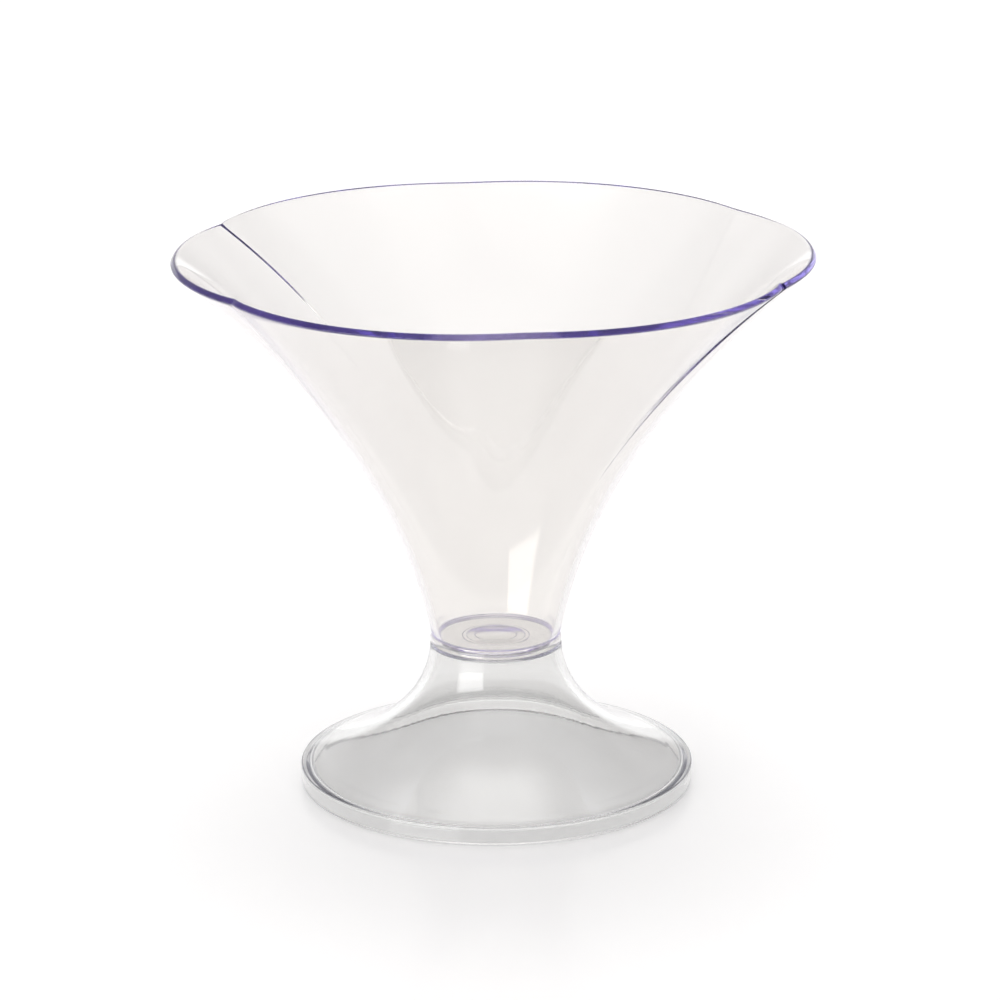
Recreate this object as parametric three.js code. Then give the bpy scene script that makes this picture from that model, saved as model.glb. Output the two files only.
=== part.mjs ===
// A footed dessert bowl in clear moulded plastic: a six-lobed funnel pushed onto a hollow flared foot.
// Millimetres, +Z up. The origin is the centre of the foot's resting ring, on the table.
import * as THREE from "three";

// Bowl, measured from the underside of its seating skirt
const LOBES = 6;
const RIM_RADIUS = 60; // outside, over the tips of the lobes
const BOWL_HEIGHT = 75; // up to the outer edge of the rim
const RIM_LEAN = 52; // degrees from upright, at the rim
const RIM_PULL = 21; // length of the curve's handle at the rim
const NECK_LEAN = 11; // degrees from upright, at the floor
const NECK_PULL = 34; // length of the curve's handle at the floor
const WALL = 1.25;
const LIP_ROUND = 0.45; // how far the rounded lip stands out past the end of the wall
const LOBE_DEPTH = 2.1; // from the tip of a lobe in to its creases, at the rim
const CREASE_DROP = 40; // height below the rim over which a crease fades out
const CREASE_EASE = 2; // power of that fade
const FLOOR_THICKNESS = 1.5;
const FLOOR_FILLET = 0.4; // between the floor and the wall

// Marks that the mould leaves under the floor
const GATE_RADIUS = 4;
const GATE_DEPTH = 0.35;
const RING_RADIUS = 6;
const RING_WIDTH = 0.8;
const RING_HEIGHT = 0.3;

// Seam, where a tongue on the foot pushes into a groove under the bowl
const SEAM_RADIUS = 12;
const BEAD_HEIGHT = 1.6;
const BEAD_BULGE = 0.5; // how far the bead and the foot's neck stand out past the seam
const NECK_STEP = 0.3; // how far the bowl's wall starts outside the seam
const TONGUE_HEIGHT = 0.95;
const TONGUE_THICKNESS = 0.5;
const GROOVE_ROOF = 0.75; // plastic between the groove and the bowl's inside
const FIT_CLEARANCE = 0.15;

// Foot
const FOOT_HEIGHT = 27.2; // up to the shoulder that carries the bowl
const SHOULDER_DROP = 0.5; // height of the shoulder's sloped outer edge
const FOOT_RADIUS = 37.4;
const FOOT_WALL = 1.4;
const EDGE_HEIGHT = 3.6; // upright band round the foot
const EDGE_ROUND = 0.4;
const RING_FACE = 1.6; // width of the flat ring that rests on the table
const FLARE_NECK_LEAN = 4; // degrees from upright, at the neck
const FLARE_NECK_PULL = 16.5; // length of the flare's handle at the neck
const FLARE_EDGE_PULL = 3.3; // length of the flare's handle at the edge
const FLARE_EDGE_SLOPE = 25; // degrees from level, at the edge

// Facets
const SIDES_PER_LOBE = 10;
const WALL_STEPS = 11;
const FLARE_STEPS = 12;
const ROUND_STEPS = 4;
const SIDES = LOBES * SIDES_PER_LOBE;

// Sizes that both pieces share at the seam
const neckRadius = SEAM_RADIUS + BEAD_BULGE;
const tongueInner = neckRadius - FOOT_WALL;
const tongueOuter = tongueInner + TONGUE_THICKNESS;

const point = (radius, height) => new THREE.Vector2(radius, height);

// A step of the given length from a point, in a direction given in degrees from upright.
function stepFrom(start, lean, length) {
  const angle = THREE.MathUtils.degToRad(lean);
  return point(start.x + length * Math.sin(angle), start.y + length * Math.cos(angle));
}

// Stations along a curve, each set to the left of the way that the curve runs by the offset.
function stations(curve, steps, offset = 0) {
  return Array.from({ length: steps + 1 }, (_, i) => {
    const along = curve.getTangent(i / steps);
    return curve.getPoint(i / steps).add(point(-along.y, along.x).multiplyScalar(offset));
  });
}

// A solid of revolution about Z from a profile of radii and heights that runs down the outside.
function turned(profile) {
  return new THREE.LatheGeometry(profile.toReversed(), SIDES).rotateX(Math.PI / 2);
}

// Distance from the axis to a lobe, an arc that reaches tip at its middle and tip - depth at its creases.
function lobeRadius(angle, tip, depth) {
  const half = Math.PI / LOBES;
  const fromMiddle = THREE.MathUtils.euclideanModulo(angle + half, 2 * half) - half;
  const crease = tip - depth;
  const centre = (crease ** 2 - tip ** 2) / (2 * (crease * Math.cos(half) - tip));
  const across = centre * Math.sin(fromMiddle);
  return centre * Math.cos(fromMiddle) + Math.sqrt((tip - centre) ** 2 - across ** 2);
}

// Depth of the creases at a height in the bowl.
function creaseDepth(height) {
  const share = (height - (BOWL_HEIGHT - CREASE_DROP)) / CREASE_DROP;
  return LOBE_DEPTH * THREE.MathUtils.clamp(share, 0, 1) ** CREASE_EASE;
}

// Presses the creases into a turned bowl.
function lobed(geometry) {
  const places = geometry.getAttribute("position");
  for (let i = 0; i < places.count; i += 1) {
    const tip = Math.hypot(places.getX(i), places.getY(i));
    const depth = creaseDepth(places.getZ(i));
    if (depth > 0) {
      const angle = Math.atan2(places.getY(i), places.getX(i));
      const scale = lobeRadius(angle, tip, depth) / tip;
      places.setX(i, places.getX(i) * scale);
      places.setY(i, places.getY(i) * scale);
    }
  }
  return geometry;
}

// The bowl's profile runs from the axis over the floor, up the inside, over the lip and down the outside.
function bowlGeometry() {
  const grooveRoof = TONGUE_HEIGHT + FIT_CLEARANCE;
  const floorTop = grooveRoof + GROOVE_ROOF;
  const floorBottom = floorTop - FLOOR_THICKNESS;
  const grooveInner = tongueInner - FIT_CLEARANCE;
  const grooveOuter = tongueOuter + FIT_CLEARANCE;

  const wallFoot = point(SEAM_RADIUS + NECK_STEP, floorTop);
  const wallEnd = point(RIM_RADIUS, BOWL_HEIGHT);
  const wall = new THREE.CubicBezierCurve(
    wallFoot,
    stepFrom(wallFoot, NECK_LEAN, NECK_PULL),
    stepFrom(wallEnd, RIM_LEAN, -RIM_PULL),
    wallEnd,
  );
  const outside = stations(wall, WALL_STEPS);
  const inside = stations(wall, WALL_STEPS, WALL);
  const innerEdge = inside.at(-1);
  const lip = new THREE.CubicBezierCurve(
    innerEdge,
    stepFrom(innerEdge, RIM_LEAN, (LIP_ROUND * 4) / 3),
    stepFrom(wallEnd, RIM_LEAN, (LIP_ROUND * 4) / 3),
    wallEnd,
  );
  const bead = new THREE.QuadraticBezierCurve(
    point(SEAM_RADIUS, BEAD_HEIGHT),
    point(SEAM_RADIUS + 2 * BEAD_BULGE, BEAD_HEIGHT / 2),
    point(SEAM_RADIUS, 0),
  );
  const ringOuter = RING_RADIUS + RING_WIDTH / 2;
  const ringInner = RING_RADIUS - RING_WIDTH / 2;

  return lobed(
    turned([
      point(0, floorTop),
      point(inside[0].x - FLOOR_FILLET, floorTop),
      ...inside,
      ...stations(lip, ROUND_STEPS).slice(1, -1),
      ...outside.reverse(),
      ...stations(bead, ROUND_STEPS),
      point(grooveOuter, 0),
      point(grooveOuter, grooveRoof),
      point(grooveInner, grooveRoof),
      point(grooveInner, floorBottom),
      point(ringOuter, floorBottom),
      point(ringOuter, floorBottom - RING_HEIGHT),
      point(ringInner, floorBottom - RING_HEIGHT),
      point(ringInner, floorBottom),
      point(GATE_RADIUS, floorBottom),
      point(GATE_RADIUS, floorBottom + GATE_DEPTH),
      point(0, floorBottom + GATE_DEPTH),
    ]),
  );
}

// The foot's profile runs from the tongue down the outside of the flare and back up the inside.
function footGeometry() {
  const flareTop = point(neckRadius, FOOT_HEIGHT - SHOULDER_DROP);
  const flareEnd = point(FOOT_RADIUS - EDGE_ROUND, EDGE_HEIGHT);
  const flare = new THREE.CubicBezierCurve(
    flareTop,
    stepFrom(flareTop, 180 - FLARE_NECK_LEAN, FLARE_NECK_PULL),
    stepFrom(flareEnd, 90 + FLARE_EDGE_SLOPE, -FLARE_EDGE_PULL),
    flareEnd,
  );
  const ringInner = FOOT_RADIUS - RING_FACE - EDGE_ROUND;
  const inside = stations(flare, FLARE_STEPS, -FOOT_WALL).filter((p) => p.x < ringInner);
  const tongueTop = FOOT_HEIGHT + TONGUE_HEIGHT;
  const tongueCorner = point(tongueInner, tongueTop);

  return turned([
    tongueCorner,
    point(tongueOuter, tongueTop),
    point(tongueOuter, FOOT_HEIGHT),
    point(SEAM_RADIUS, FOOT_HEIGHT),
    ...stations(flare, FLARE_STEPS),
    point(FOOT_RADIUS, EDGE_HEIGHT - EDGE_ROUND),
    point(FOOT_RADIUS, EDGE_ROUND),
    point(FOOT_RADIUS - EDGE_ROUND, 0),
    point(ringInner, 0),
    point(ringInner, inside.at(-1).y),
    ...inside.reverse(),
    tongueCorner,
  ]);
}

function clearPlastic() {
  return new THREE.MeshStandardMaterial({
    color: 0xe9e7f0,
    roughness: 0.06,
    metalness: 0,
    transparent: true,
    opacity: 0.35,
  });
}

function piece(name, geometry) {
  const mesh = new THREE.Mesh(geometry, clearPlastic());
  mesh.name = name;
  return mesh;
}

const foot = piece("pedestal_foot", footGeometry());
const bowl = piece("bowl", bowlGeometry());
bowl.position.z = FOOT_HEIGHT + FIT_CLEARANCE;

const servingBowl = new THREE.Group();
servingBowl.add(foot, bowl);

export default servingBowl;
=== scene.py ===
"""A clear footed dessert bowl: a six-lobed funnel pushed onto a hollow flared foot, on a white table.

Every size is in metres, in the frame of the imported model. Heights in the bowl's own profile run from
the underside of its seating skirt, and heights in the foot's from the table.
"""

import math

import bpy
from bpy.props import FloatProperty, FloatVectorProperty, IntProperty, PointerProperty
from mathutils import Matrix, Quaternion, Vector


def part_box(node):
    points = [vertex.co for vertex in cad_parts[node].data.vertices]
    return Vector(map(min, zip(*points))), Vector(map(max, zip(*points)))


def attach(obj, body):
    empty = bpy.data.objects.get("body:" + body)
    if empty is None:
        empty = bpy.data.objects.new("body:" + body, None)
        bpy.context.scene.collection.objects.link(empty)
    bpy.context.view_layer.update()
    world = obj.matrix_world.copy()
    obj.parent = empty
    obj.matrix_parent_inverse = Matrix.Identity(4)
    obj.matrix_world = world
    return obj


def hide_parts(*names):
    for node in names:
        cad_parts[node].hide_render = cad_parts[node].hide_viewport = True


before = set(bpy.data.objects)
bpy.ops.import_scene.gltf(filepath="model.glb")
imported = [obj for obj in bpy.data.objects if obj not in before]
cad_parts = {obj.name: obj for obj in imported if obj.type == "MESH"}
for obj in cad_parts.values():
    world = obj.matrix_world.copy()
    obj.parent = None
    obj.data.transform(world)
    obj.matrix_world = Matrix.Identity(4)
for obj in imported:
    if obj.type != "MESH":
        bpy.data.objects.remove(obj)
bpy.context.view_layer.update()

bl_info = {
    "name": "Footed Dessert Bowl",
    "version": (1, 0, 0),
    "blender": (4, 5, 0),
    "location": "3D View > Sidebar > Dessert Bowl",
    "description": "Builds a clear footed dessert bowl and the white table that it stands on",
    "category": "Object",
}

MM = 0.001
BOWL_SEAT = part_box("bowl")[0].z
FOOT_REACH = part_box("pedestal_foot")[1]


def linear(hex_colour):
    """An sRGB hex colour as the linear red, green and blue that shaders take."""
    shares = [int(hex_colour[i : i + 2], 16) / 255 for i in (1, 3, 5)]
    return [s / 12.92 if s <= 0.04045 else ((s + 0.055) / 1.055) ** 2.4 for s in shares]


def length(name, description, millimetres):
    """A length that a user may change, given in millimetres."""
    return FloatProperty(
        name=name,
        description=description,
        default=millimetres * MM,
        min=0,
        precision=5,
        unit="LENGTH",
    )


def angle(name, description, degrees):
    """An angle that a user may change, given in degrees."""
    return FloatProperty(
        name=name,
        description=description,
        default=math.radians(degrees),
        subtype="ANGLE",
    )


def share(name, description, value, most=1.0):
    """A plain number that a user may change."""
    return FloatProperty(name=name, description=description, default=value, min=0, max=most)


def count(name, description, value):
    """A whole number that a user may change."""
    return IntProperty(name=name, description=description, default=value, min=1)


def colour(name, description, hex_colour):
    """A colour that a user may change, given as sRGB hex."""
    return FloatVectorProperty(
        name=name,
        description=description,
        default=linear(hex_colour),
        subtype="COLOR",
        min=0,
        max=1,
    )


class SeamSizes(bpy.types.PropertyGroup):
    """The push fit between the bowl and the foot."""

    radius: length("Seam radius", "Outside of the seam between the bowl and the foot", 12)
    bead_height: length("Bead height", "Height of the bead round the bowl's seat", 1.6)
    bead_bulge: length("Bead bulge", "How far the bead and the foot's neck stand out past the seam", 0.5)
    neck_step: length("Neck step", "How far the bowl's wall starts outside the seam", 0.3)
    tongue_height: length("Tongue height", "Height of the foot's tongue", 0.95)
    tongue_thickness: length("Tongue thickness", "Thickness of the foot's tongue", 0.5)
    clearance: length("Clearance", "Air between the tongue and its groove", 0.15)
    corner: length("Corner", "Radius of the moulded corners at the seam", 0.12)


class BowlSizes(bpy.types.PropertyGroup):
    """The funnel."""

    lobes: count("Lobes", "Lobes round the rim", 6)
    rim_radius: length("Rim radius", "Outside, over the tips of the lobes", 60)
    height: length("Height", "From the seat up to the outer edge of the rim", 75)
    rim_lean: angle("Rim lean", "From upright, at the rim", 52)
    rim_pull: length("Rim pull", "Length of the wall curve's handle at the rim", 21)
    neck_lean: angle("Neck lean", "From upright, at the floor", 11)
    neck_pull: length("Neck pull", "Length of the wall curve's handle at the floor", 34)
    wall: length("Wall", "Thickness of the wall", 1.25)
    lip_corner: length("Lip corner", "Radius of the two corners of the lip", 0.3)
    lobe_depth: length("Lobe depth", "From a lobe's tip in to its creases, at the rim", 2.1)
    crease_drop: length("Crease drop", "Height below the rim over which a crease fades out", 40)
    crease_ease: share("Crease ease", "Power of that fade", 2, most=4)
    crease_round: length("Crease round", "Half the width of the rounding in a sharp crease", 0.12)
    crease_soft: length("Crease soft", "Half the width of the rounding in a soft crease", 3)
    pinch_depth: length("Pinch depth", "How far the fold is pinched in at a crease, at the rim", 0.28)
    pinch_width: length("Pinch width", "How far from a crease the pinch dies out", 1.3)
    swirl: angle("Swirl", "How far the creases turn round the bowl from the rim to their ends", 20)
    groove_roof: length("Groove roof", "Plastic between the groove and the bowl's inside", 0.75)
    floor_thickness: length("Floor thickness", "Thickness of the floor", 1.5)
    floor_fillet: length("Floor fillet", "Radius between the floor and the wall", 0.5)
    gate_radius: length("Gate radius", "Radius of the recess that the mould's gate leaves", 4)
    gate_depth: length("Gate depth", "Depth of that recess", 0.35)
    ring_radius: length("Ring radius", "Radius of the ring that the mould leaves under the floor", 6)
    ring_width: length("Ring width", "Width of that ring", 0.8)
    ring_height: length("Ring height", "Height of that ring", 0.3)
    mark_corner: length("Mark corner", "Radius of the corners of the mould's marks", 0.1)


class FootSizes(bpy.types.PropertyGroup):
    """The flared foot."""

    radius: length("Foot radius", "Outside of the upright band", FOOT_REACH.x / MM)
    height: length("Foot height", "From the table up to the shoulder that carries the bowl", 27.2)
    shoulder_drop: length("Shoulder drop", "Height of the shoulder's sloped outer edge", 0.2)
    wall: length("Foot wall", "Thickness of the flare", 1.4)
    edge_height: length("Edge height", "Height of the upright band round the foot", 3.6)
    edge_round: length("Edge round", "Radius of the band's corners", 0.4)
    ring_face: length("Ring face", "Width of the flat ring that rests on the table", 1.6)
    ring_fillet: length("Ring fillet", "Radius between the ring and the inside of the flare", 1.2)
    neck_lean: angle("Neck lean", "From upright, at the neck", 4)
    neck_pull: length("Neck pull", "Length of the flare's handle at the neck", 16.5)
    edge_pull: length("Edge pull", "Length of the flare's handle at the edge", 3.3)
    edge_slope: angle("Edge slope", "From level, at the edge", 25)


class PlasticLook(bpy.types.PropertyGroup):
    """Clear injection-moulded polystyrene."""

    ior: share("IOR", "Refractive index of polystyrene", 1.59, most=2)
    bowl_tint: colour("Bowl tint", "What the bowl leaves of white light after the depth below", "#d8d4f4")
    foot_tint: colour("Foot tint", "What the foot leaves of white light after the depth below", "#dcdde3")
    # The two film colours and the film cover below are painted shade, not mould release: a coat tint that
    # darkens the plastic where it is seen at a slant, which draws dark outlines.
    bowl_slant_shade: colour("Bowl film", "What the film of mould release on the bowl lets through", "#fdfbfa")
    foot_slant_shade: colour("Foot film", "What that film on the foot lets through", "#fafafa")
    slant_shade_cover: share("Film cover", "How much of the surface the film covers", 0.05)
    bowl_skin: colour("Bowl skin", "What the bowl's surface lets through", "#f9f8f5")
    foot_skin: colour("Foot skin", "What the foot's surface lets through", "#f5f5f4")
    depth: length("Depth", "Path through the plastic after which white light has that colour", 40)
    gloss: share("Roughness", "Roughness of the mould's polish", 0.015)
    haze: share("Haze", "Roughness in the dullest patches", 0.035)
    flow_width: length("Flow width", "Width of the flow lines that run up the wall", 5)
    flow_depth: length("Flow depth", "Depth of the flow lines", 0.004)


class StageLook(bpy.types.PropertyGroup):
    """The table and the studio round it."""

    table_colour: colour("Table colour", "White laminate", "#fbfbfb")
    room_colour: colour("Room colour", "The grey tent above the white sweep", "#939090")
    sweep_colour: colour("Sweep colour", "The white sweep behind the table, all round", "#ffffff")
    glow: share("Glow", "How bright the table is from the light under it alone, where 1 is white", 0.36)


def settings():
    """The scene's own copy of the bowl's settings."""
    return bpy.context.scene.dessert_bowl


def step_from(start, lean, distance):
    """A step from a point of a profile, in a direction given as an angle from upright."""
    return start + distance * Vector((math.sin(lean), math.cos(lean)))


def bezier(ends, steps, offset=0.0):
    """Stations along a cubic curve, each set to the left of the way that the curve runs by the offset."""
    a, b, c, d = ends
    stations = []
    for i in range(steps + 1):
        t = i / steps
        s = 1 - t
        place = s**3 * a + 3 * s * s * t * b + 3 * s * t * t * c + t**3 * d
        along = s * s * (b - a) + 2 * s * t * (c - b) + t * t * (d - c)
        along.normalize()
        stations.append(place + offset * Vector((-along.y, along.x)))
    return stations


CORNER_STEPS = 5
# The most of a side that the rounding of one of its ends may take.
CORNER_SHARE = 0.49


def rounded(corners, closed=False):
    """A profile from (point, radius) pairs, with an arc in place of each corner that has a radius."""
    profile = []
    for i, (corner, radius) in enumerate(corners):
        at_end = not closed and i in (0, len(corners) - 1)
        if radius == 0 or at_end:
            profile.append(corner)
            continue
        before = corners[i - 1][0] - corner
        after = corners[(i + 1) % len(corners)][0] - corner
        opening = before.angle(after)
        setback = radius / math.tan(opening / 2)
        setback = min(setback, CORNER_SHARE * before.length, CORNER_SHARE * after.length)
        start = corner + setback * before.normalized()
        end = corner + setback * after.normalized()
        towards_centre = (before.normalized() + after.normalized()).normalized()
        centre = corner + towards_centre * setback / math.cos(opening / 2)
        sweep = (start - centre).angle_signed(end - centre)
        for k in range(CORNER_STEPS + 1):
            turn = -sweep * k / CORNER_STEPS
            spoke = start - centre
            along = spoke.x * math.cos(turn) - spoke.y * math.sin(turn)
            up = spoke.x * math.sin(turn) + spoke.y * math.cos(turn)
            profile.append(centre + Vector((along, up)))
    return profile


# Facets that meet at more than this angle keep a sharp edge between them.
SHARP_ANGLE = math.radians(40)
# A point of a profile nearer to the axis than this lies on it.
ON_AXIS = 1e-7


def turned_mesh(name, profile, angles, closed=False, shape=None):
    """A surface of revolution about Z from a profile of radii and heights that runs down the outside.

    Where the piece isn't round, shape takes a point of the profile and an angle, and gives the radius and
    angle to use there.
    """
    sides = len(angles)
    places = []
    rows = []
    for point in profile:
        first = len(places)
        if point.x < ON_AXIS:
            places.append((0, 0, point.y))
            rows.append([first] * sides)
            continue
        for turn in angles:
            radius, bearing = shape(point, turn) if shape else (point.x, turn)
            places.append((radius * math.cos(bearing), radius * math.sin(bearing), point.y))
        rows.append(range(first, first + sides))
    faces = []
    spots = []
    along = 0
    last = len(rows) if closed else len(rows) - 1
    for k in range(last):
        inner, outer = rows[k], rows[(k + 1) % len(rows)]
        further = along + (profile[(k + 1) % len(rows)] - profile[k]).length
        for i in range(sides):
            j = (i + 1) % sides
            corners = [
                (outer[i], i, further),
                (outer[j], i + 1, further),
                (inner[j], i + 1, along),
                (inner[i], i, along),
            ]
            if outer[i] == outer[j]:
                del corners[1]
            elif inner[i] == inner[j]:
                del corners[2]
            faces.append([c[0] for c in corners])
            spots.extend((c[1] / sides, c[2]) for c in corners)
        along = further
    mesh = bpy.data.meshes.new(name)
    mesh.from_pydata(places, [], faces)
    layer = mesh.uv_layers.new(name="round_and_along")
    for loop, spot in zip(layer.data, spots):
        loop.uv = spot
    mesh.shade_smooth()
    mesh.set_sharp_from_angle(angle=SHARP_ANGLE)
    piece = bpy.data.objects.new(name, mesh)
    bpy.context.scene.collection.objects.link(piece)
    return piece


# How sharp each crease came out of the mould, round from the one at the right back.
CREASE_SHARPNESS = (0.1, 0, 1, 1, 0, 1)
# Steps on each side of a lobe's middle, and the power that crowds them towards its creases.
LOBE_STEPS = 22
CROWDING = 2.0
WALL_STEPS = 64
FOOT_SIDES = 192
FLARE_STEPS = 48
BEAD_STEPS = 12


def lobe_angles(lobes):
    """Angles round the bowl, crowded towards the creases, where the wall turns fastest."""
    half = math.pi / lobes
    angles = []
    for lobe in range(lobes):
        for i in range(-LOBE_STEPS, LOBE_STEPS):
            from_middle = math.copysign(1 - (1 - abs(i) / LOBE_STEPS) ** CROWDING, i)
            angles.append(half * (2 * lobe + from_middle))
    return angles


def lobe_radius(turn, tip, depth, sizes):
    """Distance from the axis to a lobe: an arc that reaches tip at its middle and a crease at each end.

    A sharp crease is pinched in and hardly rounded, and a soft one is only rounded.
    """
    half = math.pi / sizes.lobes
    from_middle = (turn + half) % (2 * half) - half
    crease = tip - depth
    centre = (crease**2 - tip**2) / (2 * (crease * math.cos(half) - tip))
    across = centre * math.sin(from_middle)
    radius = centre * math.cos(from_middle) + math.sqrt((tip - centre) ** 2 - across**2)
    sharpness = CREASE_SHARPNESS[int(turn / (2 * half)) % len(CREASE_SHARPNESS)]
    rounding = sharpness * sizes.crease_round + (1 - sharpness) * sizes.crease_soft
    pinch = sharpness * sizes.pinch_depth * depth / sizes.lobe_depth
    slope = abs(centre) * math.sin(half) / crease + pinch / sizes.pinch_width
    from_crease = (half - abs(from_middle)) * crease
    radius -= pinch * math.exp(-from_crease / sizes.pinch_width)
    return radius + slope * (math.hypot(from_crease, rounding) - from_crease)


def bowl_profile(seam, sizes, foot_wall):
    """Runs from the axis over the floor, up the inside, over the lip, down the outside and back under."""
    groove_roof = seam.tongue_height + seam.clearance
    floor_top = groove_roof + sizes.groove_roof
    floor_bottom = floor_top - sizes.floor_thickness
    tongue_inner = seam.radius + seam.bead_bulge - foot_wall
    groove_inner = tongue_inner - seam.clearance
    groove_outer = tongue_inner + seam.tongue_thickness + seam.clearance

    wall_foot = Vector((seam.radius + seam.neck_step, floor_top))
    wall_end = Vector((sizes.rim_radius, sizes.height))
    wall = (
        wall_foot,
        step_from(wall_foot, sizes.neck_lean, sizes.neck_pull),
        step_from(wall_end, sizes.rim_lean, -sizes.rim_pull),
        wall_end,
    )
    outside = bezier(wall, WALL_STEPS)
    inside = bezier(wall, WALL_STEPS, sizes.wall)
    clear_of_fillet = floor_top + 2 * sizes.floor_fillet
    lean_in = (inside[0].y - floor_top) * math.tan(sizes.neck_lean)
    floor_edge = Vector((inside[0].x - lean_in, floor_top))
    bead_top = Vector((seam.radius, seam.bead_height))
    bead_bottom = Vector((seam.radius, 0))
    # The middle of a cubic curve lies three quarters of the way out to its handles.
    swell = Vector((seam.bead_bulge * 4 / 3, 0))
    bead = bezier((bead_top, bead_top + swell, bead_bottom + swell, bead_bottom), BEAD_STEPS)
    ring_outer = sizes.ring_radius + sizes.ring_width / 2
    ring_inner = sizes.ring_radius - sizes.ring_width / 2
    ring_bottom = floor_bottom - sizes.ring_height
    gate_top = floor_bottom + sizes.gate_depth

    corners = [(Vector((0, floor_top)), 0), (floor_edge, sizes.floor_fillet)]
    corners += [(p, 0) for p in inside[:-1] if p.y > clear_of_fillet]
    corners += [(inside[-1], sizes.lip_corner), (outside[-1], sizes.lip_corner)]
    corners += [(p, 0) for p in reversed(outside[1:-1])]
    corners += [(outside[0], seam.corner)]
    corners += [(p, 0) for p in bead[:-1]]
    corners += [
        (bead[-1], seam.corner),
        (Vector((groove_outer, 0)), seam.corner),
        (Vector((groove_outer, groove_roof)), seam.corner),
        (Vector((groove_inner, groove_roof)), seam.corner),
        (Vector((groove_inner, floor_bottom)), seam.corner),
        (Vector((ring_outer, floor_bottom)), sizes.mark_corner),
        (Vector((ring_outer, ring_bottom)), sizes.mark_corner),
        (Vector((ring_inner, ring_bottom)), sizes.mark_corner),
        (Vector((ring_inner, floor_bottom)), sizes.mark_corner),
        (Vector((sizes.gate_radius, floor_bottom)), sizes.mark_corner),
        (Vector((sizes.gate_radius, gate_top)), sizes.mark_corner),
        (Vector((0, gate_top)), 0),
    ]
    return rounded(corners)


def foot_profile(seam, sizes):
    """Runs from the tongue down the outside of the flare, under the ring and back up the inside."""
    neck_radius = seam.radius + seam.bead_bulge
    tongue_inner = neck_radius - sizes.wall
    tongue_outer = tongue_inner + seam.tongue_thickness
    tongue_top = sizes.height + seam.tongue_height
    flare_top = Vector((neck_radius, sizes.height - sizes.shoulder_drop))
    flare_end = Vector((sizes.radius - sizes.edge_round, sizes.edge_height))
    flare = (
        flare_top,
        step_from(flare_top, math.pi - sizes.neck_lean, sizes.neck_pull),
        step_from(flare_end, math.pi / 2 + sizes.edge_slope, -sizes.edge_pull),
        flare_end,
    )
    outside = bezier(flare, FLARE_STEPS)
    ring_inner = sizes.radius - sizes.ring_face - sizes.edge_round
    inside = [p for p in bezier(flare, FLARE_STEPS, -sizes.wall) if p.x < ring_inner]
    clear_of_fillet = ring_inner - 2 * sizes.ring_fillet

    corners = [
        (Vector((tongue_inner, tongue_top)), seam.corner),
        (Vector((tongue_outer, tongue_top)), seam.corner),
        (Vector((tongue_outer, sizes.height)), seam.corner),
        (Vector((seam.radius, sizes.height)), seam.corner),
    ]
    corners += [(outside[0], seam.corner)]
    corners += [(p, 0) for p in outside[1:-1]]
    corners += [
        (Vector((sizes.radius, sizes.edge_height)), sizes.edge_round),
        (Vector((sizes.radius, 0)), sizes.edge_round),
        (Vector((ring_inner, 0)), seam.corner),
        (Vector((ring_inner, inside[-1].y)), sizes.ring_fillet),
    ]
    corners += [(p, 0) for p in reversed(inside) if p.x < clear_of_fillet]
    return rounded(corners, closed=True)


def add_node(tree, kind, inputs=None, **options):
    """Adds a node, sets its options and fills its inputs, by a link where a value is another's socket."""
    made = tree.nodes.new(kind)
    for name, value in options.items():
        setattr(made, name, value)
    for name, value in (inputs or {}).items():
        if isinstance(value, bpy.types.NodeSocket):
            tree.links.new(value, made.inputs[name])
        else:
            made.inputs[name].default_value = value
    return made


def empty_tree(owner):
    """The node tree of a material or a world, with nothing in it."""
    owner.use_nodes = True
    owner.node_tree.nodes.clear()
    return owner.node_tree


HAZE_PATCH = 14 * MM
# Noise from the first of these to the second goes from polished to hazy.
HAZE_RANGE = (0.35, 0.75)
FLOW_LENGTH = 60 * MM


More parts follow.
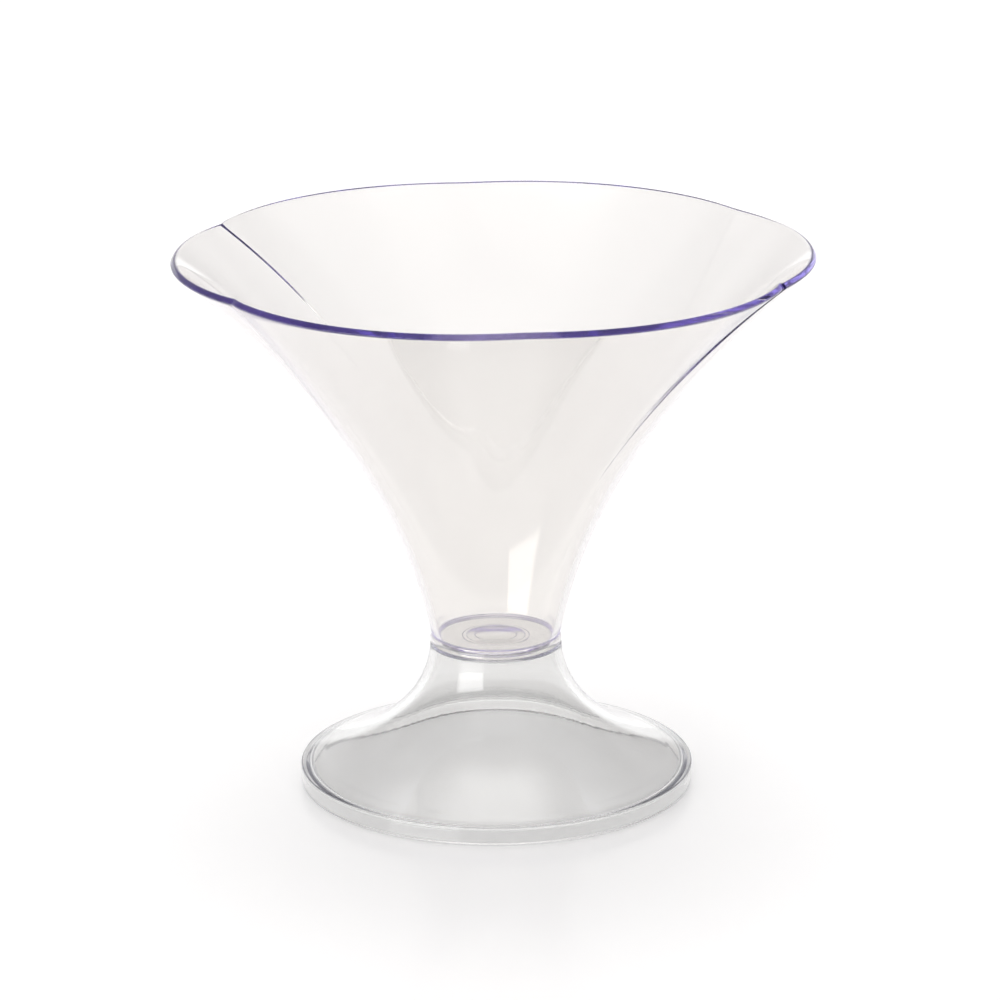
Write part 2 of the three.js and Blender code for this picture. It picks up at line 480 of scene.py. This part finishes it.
def clear_polystyrene(name, tint, skin_colour, slant_shade, look):
    """Clear polystyrene, injection moulded in a polished mould: glassy, with faint flow lines up the wall.

    A cold blue-violet shows only where light runs a long way inside the wall, as it does to the rim. The skin
    takes a little of all that passes, and a coat tint of painted shade darkens the surface slightly where it
    is seen at a slant, which draws dark outlines.
    """
    material = bpy.data.materials.new(name)
    tree = empty_tree(material)
    spot = add_node(tree, "ShaderNodeTexCoord")
    patches = add_node(
        tree,
        "ShaderNodeTexNoise",
        {"Vector": spot.outputs["Object"], "Scale": 1 / HAZE_PATCH, "Detail": 2.0},
    )
    gloss = add_node(
        tree,
        "ShaderNodeMapRange",
        {
            "Value": patches.outputs["Fac"],
            "From Min": HAZE_RANGE[0],
            "From Max": HAZE_RANGE[1],
            "To Min": look.gloss,
            "To Max": look.haze,
        },
    )
    rim_round = 2 * math.pi * settings().bowl.rim_radius
    stretched = add_node(
        tree,
        "ShaderNodeMapping",
        {
            "Vector": spot.outputs["UV"],
            "Scale": (rim_round / look.flow_width, 1 / FLOW_LENGTH, 1),
        },
    )
    flow = add_node(
        tree,
        "ShaderNodeTexNoise",
        {"Vector": stretched.outputs["Vector"], "Scale": 1.0, "Detail": 1.0},
    )
    relief = add_node(
        tree,
        "ShaderNodeBump",
        {"Height": flow.outputs["Fac"], "Strength": 1.0, "Distance": look.flow_depth},
    )
    skin = add_node(
        tree,
        "ShaderNodeBsdfPrincipled",
        {
            "Base Color": [*skin_colour, 1],
            "Roughness": gloss.outputs["Result"],
            "IOR": look.ior,
            "Transmission Weight": 1.0,
            "Normal": relief.outputs["Normal"],
            # Painted shade: the coat's tint darkens the plastic where it is seen at a slant, which draws dark
            # outlines.
            "Coat Weight": look.slant_shade_cover,
            "Coat IOR": 1.0,
            "Coat Tint": [*slant_shade, 1],
        },
    )
    losses = [-math.log(c) / look.depth for c in tint]
    most = max(losses)
    depth = add_node(
        tree,
        "ShaderNodeVolumeAbsorption",
        {"Color": [*(1 - loss / most for loss in losses), 1], "Density": most},
    )
    add_node(
        tree,
        "ShaderNodeOutputMaterial",
        {"Surface": skin.outputs["BSDF"], "Volume": depth.outputs["Volume"]},
    )
    return material


GRIT = 2 * MM
# Roughness of the laminate, from its smoothest to its dullest spots, and how strongly it reflects.
SATIN = (0.18, 0.24)
SATIN_LEVEL = 0.35


def white_laminate(look):
    """White melamine laminate, pressed smooth: even and pale, with a satin reflection and a light under it.

    The light shows to the eye and through the plastic, and leaves the shadow on the table.
    """
    material = bpy.data.materials.new("white_laminate_pressed")
    tree = empty_tree(material)
    spot = add_node(tree, "ShaderNodeTexCoord")
    grit = add_node(
        tree,
        "ShaderNodeTexNoise",
        {"Vector": spot.outputs["Object"], "Scale": 1 / GRIT, "Detail": 1.0},
    )
    satin = add_node(
        tree,
        "ShaderNodeMapRange",
        {"Value": grit.outputs["Fac"], "To Min": SATIN[0], "To Max": SATIN[1]},
    )
    skin = add_node(
        tree,
        "ShaderNodeBsdfPrincipled",
        {
            "Base Color": [*look.table_colour, 1],
            "Roughness": satin.outputs["Result"],
            "Specular IOR Level": SATIN_LEVEL,
        },
    )
    ray = add_node(tree, "ShaderNodeLightPath")
    seen = ray.outputs["Is Camera Ray"]
    for kind in ("Is Glossy Ray", "Is Transmission Ray"):
        seen = add_node(
            tree, "ShaderNodeMath", {0: seen, 1: ray.outputs[kind]}, operation="MAXIMUM"
        ).outputs[0]
    glow = add_node(tree, "ShaderNodeMath", {0: seen, 1: look.glow}, operation="MULTIPLY")
    white = add_node(tree, "ShaderNodeEmission", {"Strength": glow.outputs[0]})
    surface = add_node(
        tree,
        "ShaderNodeAddShader",
        {0: skin.outputs["BSDF"], 1: white.outputs["Emission"]},
    )
    add_node(tree, "ShaderNodeOutputMaterial", {"Surface": surface.outputs["Shader"]})
    return material


# The sweep is white up to its top, and fades into the tent above that.
SWEEP_TOP = math.radians(5)
SWEEP_FADE = math.radians(5)
# Each softbox: its name, its azimuth to the right of the camera's side, its elevation, the sines of its
# half width and half height, how far its edge fades, and its level. A card takes light from the tent.
SOFTBOXES = (
    ("overhead", 175, 84, 0.7, 0.7, 0.55, 0.85),
    ("back_top", 177, 68, 0.42, 0.45, 0.3, 2.1),
    ("tent_back", 175, 35, 1.3, 0.9, 0.8, 0.25),
    ("back_panel", 177, 20, 0.38, 0.3, 0.2, 0.5),
    ("front_fill", -5, 50, 0.6, 0.36, 0.25, 0.5),
    ("left_window", -49, 7, 0.39, 0.24, 0.06, 3.4),
    ("left_card", -105, 30, 0.6, 0.3, 0.15, -0.28),
    ("right_card", 105, 30, 0.6, 0.3, 0.15, -0.28),
)


def studio_world(look):
    """A grey tent above a white sweep, with softboxes far away, so that the table is lit evenly."""
    world = bpy.data.worlds.new("studio")
    tree = empty_tree(world)
    ray = add_node(tree, "ShaderNodeTexCoord").outputs["Generated"]
    height = add_node(tree, "ShaderNodeSeparateXYZ", {"Vector": ray}).outputs["Z"]
    above_sweep = add_node(
        tree,
        "ShaderNodeMapRange",
        {
            "Value": height,
            "From Min": math.sin(SWEEP_TOP),
            "From Max": math.sin(SWEEP_TOP + SWEEP_FADE),
        },
        interpolation_type="SMOOTHSTEP",
    )
    sweep = add_node(tree, "ShaderNodeBackground", {"Color": [*look.sweep_colour, 1]})
    room = add_node(tree, "ShaderNodeBackground", {"Color": [*look.room_colour, 1]})
    light = add_node(
        tree,
        "ShaderNodeMixShader",
        {"Fac": above_sweep.outputs["Result"], 1: sweep.outputs[0], 2: room.outputs[0]},
    )
    for name, azimuth, elevation, half_width, half_height, fade, level in SOFTBOXES:
        facing = add_node(
            tree,
            "ShaderNodeMapping",
            {"Vector": ray, "Rotation": (-math.radians(elevation), 0, math.radians(azimuth))},
            label=name,
            vector_type="TEXTURE",
        )
        place = add_node(tree, "ShaderNodeSeparateXYZ", {"Vector": facing.outputs["Vector"]})
        lit = level
        for axis, half in (("X", half_width), ("Z", half_height), ("Y", None)):
            where = place.outputs[axis]
            if half:
                where = add_node(tree, "ShaderNodeMath", {0: where}, operation="ABSOLUTE").outputs[0]
            edge = half or 0
            inside = add_node(
                tree,
                "ShaderNodeMapRange",
                {
                    "Value": where,
                    "From Min": edge - fade,
                    "From Max": edge,
                    "To Min": 1.0,
                    "To Max": 0.0,
                },
                interpolation_type="SMOOTHSTEP",
            )
            lit = add_node(
                tree, "ShaderNodeMath", {0: lit, 1: inside.outputs["Result"]}, operation="MULTIPLY"
            ).outputs[0]
        box = add_node(tree, "ShaderNodeBackground", {"Strength": lit})
        light = add_node(tree, "ShaderNodeAddShader", {0: light.outputs[0], 1: box.outputs[0]})
    add_node(tree, "ShaderNodeOutputWorld", {"Surface": light.outputs[0]})
    return world


TABLE_RADIUS = 8.0
TABLE_SIDES = 96
# Air between the table and the foot, so that the two faces don't coincide.
TABLE_GAP = 0.05 * MM

# The camera looks at a point on the bowl's axis.
SIGHT_HEIGHT = 55.2 * MM
SIGHT_DISTANCE = 879.5 * MM
SIGHT_ELEVATION = math.radians(17.12)
SIGHT_AZIMUTH = math.radians(-5.41)
SIGHT_ROLL = math.radians(-0.33)
SIGHT_SHIFT = 0.0049
LENS = 168

# Light runs down inside a wall by reflecting many times, so paths are long.
PATH_BOUNCES = 200


class DESSERTBOWL_OT_stage(bpy.types.Operator):
    """Makes the table, the studio's light and the camera"""

    bl_idname = "dessert_bowl.stage"
    bl_label = "Table, Light and Camera"

    def execute(self, context):
        scene = context.scene
        look = settings().stage

        mesh = bpy.data.meshes.new("table")
        turns = [2 * math.pi * i / TABLE_SIDES for i in range(TABLE_SIDES)]
        edge = [(TABLE_RADIUS * math.cos(t), TABLE_RADIUS * math.sin(t), -TABLE_GAP) for t in turns]
        mesh.from_pydata(edge, [], [range(TABLE_SIDES)])
        mesh.materials.append(white_laminate(look))
        table = bpy.data.objects.new("table", mesh)
        scene.collection.objects.link(table)

        scene.world = studio_world(look)

        camera = bpy.data.objects.new("camera", bpy.data.cameras.new("camera"))
        camera.data.lens = LENS
        camera.data.shift_x = SIGHT_SHIFT
        towards = Vector(
            (
                math.sin(SIGHT_AZIMUTH) * math.cos(SIGHT_ELEVATION),
                -math.cos(SIGHT_AZIMUTH) * math.cos(SIGHT_ELEVATION),
                math.sin(SIGHT_ELEVATION),
            )
        )
        camera.location = Vector((0, 0, SIGHT_HEIGHT)) + SIGHT_DISTANCE * towards
        camera.rotation_mode = "QUATERNION"
        roll = Quaternion((0, 0, 1), SIGHT_ROLL)
        camera.rotation_quaternion = (-towards).to_track_quat("-Z", "Y") @ roll
        scene.collection.objects.link(camera)
        scene.camera = camera

        scene.view_settings.view_transform = "Standard"
        scene.cycles.max_bounces = PATH_BOUNCES
        scene.cycles.glossy_bounces = PATH_BOUNCES
        scene.cycles.transmission_bounces = PATH_BOUNCES
        return {"FINISHED"}


class DESSERTBOWL_OT_bowl(bpy.types.Operator):
    """Makes the lobed bowl"""

    bl_idname = "dessert_bowl.bowl"
    bl_label = "Lobed Bowl"

    def execute(self, context):
        sizes = settings().bowl
        profile = bowl_profile(settings().seam, sizes, settings().foot.wall)
        crease_end = sizes.height - sizes.crease_drop

        def lobed(point, turn):
            share_up = min(max((point.y - crease_end) / sizes.crease_drop, 0), 1)
            depth = sizes.lobe_depth * share_up**sizes.crease_ease
            radius = lobe_radius(turn, point.x, depth, sizes) if depth > 0 else point.x
            return radius, turn - sizes.swirl * (1 - share_up)

        bowl = turned_mesh("lobed_bowl", profile, lobe_angles(sizes.lobes), shape=lobed)
        bowl.location.z = BOWL_SEAT
        look = settings().plastic
        # The third colour is the painted shade that darkens the bowl where it is seen at a slant.
        colours = (look.bowl_tint, look.bowl_skin, look.bowl_slant_shade)
        plastic = clear_polystyrene("violet_clear_polystyrene", *colours, look)
        bowl.data.materials.append(plastic)
        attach(bowl, "bowl")
        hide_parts("bowl")
        return {"FINISHED"}


class DESSERTBOWL_OT_foot(bpy.types.Operator):
    """Makes the flared foot"""

    bl_idname = "dessert_bowl.foot"
    bl_label = "Flared Foot"

    def execute(self, context):
        profile = foot_profile(settings().seam, settings().foot)
        turns = [2 * math.pi * i / FOOT_SIDES for i in range(FOOT_SIDES)]
        foot = turned_mesh("flared_foot", profile, turns, closed=True)
        look = settings().plastic
        # The third colour is the painted shade that darkens the foot where it is seen at a slant.
        colours = (look.foot_tint, look.foot_skin, look.foot_slant_shade)
        plastic = clear_polystyrene("neutral_clear_polystyrene", *colours, look)
        foot.data.materials.append(plastic)
        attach(foot, "foot")
        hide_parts("pedestal_foot")
        return {"FINISHED"}


class DessertBowlSettings(bpy.types.PropertyGroup):
    """All that a user may change."""

    seam: PointerProperty(type=SeamSizes, name="Seam", description="The push fit")
    bowl: PointerProperty(type=BowlSizes, name="Bowl", description="The funnel")
    foot: PointerProperty(type=FootSizes, name="Foot", description="The flared foot")
    plastic: PointerProperty(type=PlasticLook, name="Plastic", description="The clear plastic")
    stage: PointerProperty(type=StageLook, name="Stage", description="The table and the studio")


class VIEW3D_PT_dessert_bowl(bpy.types.Panel):
    """Lists the bowl's settings and the operators that build it"""

    bl_label = "Dessert Bowl"
    bl_space_type = "VIEW_3D"
    bl_region_type = "UI"
    bl_category = "Dessert Bowl"

    def draw(self, context):
        for part in DessertBowlSettings.__annotations__:
            group = getattr(settings(), part)
            box = self.layout.box()
            for name in group.__annotations__:
                box.prop(group, name)
        for operator in OPERATORS:
            self.layout.operator(operator.bl_idname)


OPERATORS = (DESSERTBOWL_OT_stage, DESSERTBOWL_OT_bowl, DESSERTBOWL_OT_foot)
GROUPS = (SeamSizes, BowlSizes, FootSizes, PlasticLook, StageLook, DessertBowlSettings)
CLASSES = (*GROUPS, *OPERATORS, VIEW3D_PT_dessert_bowl)


def register():
    for cls in CLASSES:
        bpy.utils.register_class(cls)
    bpy.types.Scene.dessert_bowl = PointerProperty(type=DessertBowlSettings)


def unregister():
    del bpy.types.Scene.dessert_bowl
    for cls in reversed(CLASSES):
        bpy.utils.unregister_class(cls)


def main():
    register()
    bpy.ops.dessert_bowl.stage()
    bpy.ops.dessert_bowl.bowl()
    bpy.ops.dessert_bowl.foot()


if __name__ == "__main__":
    main()
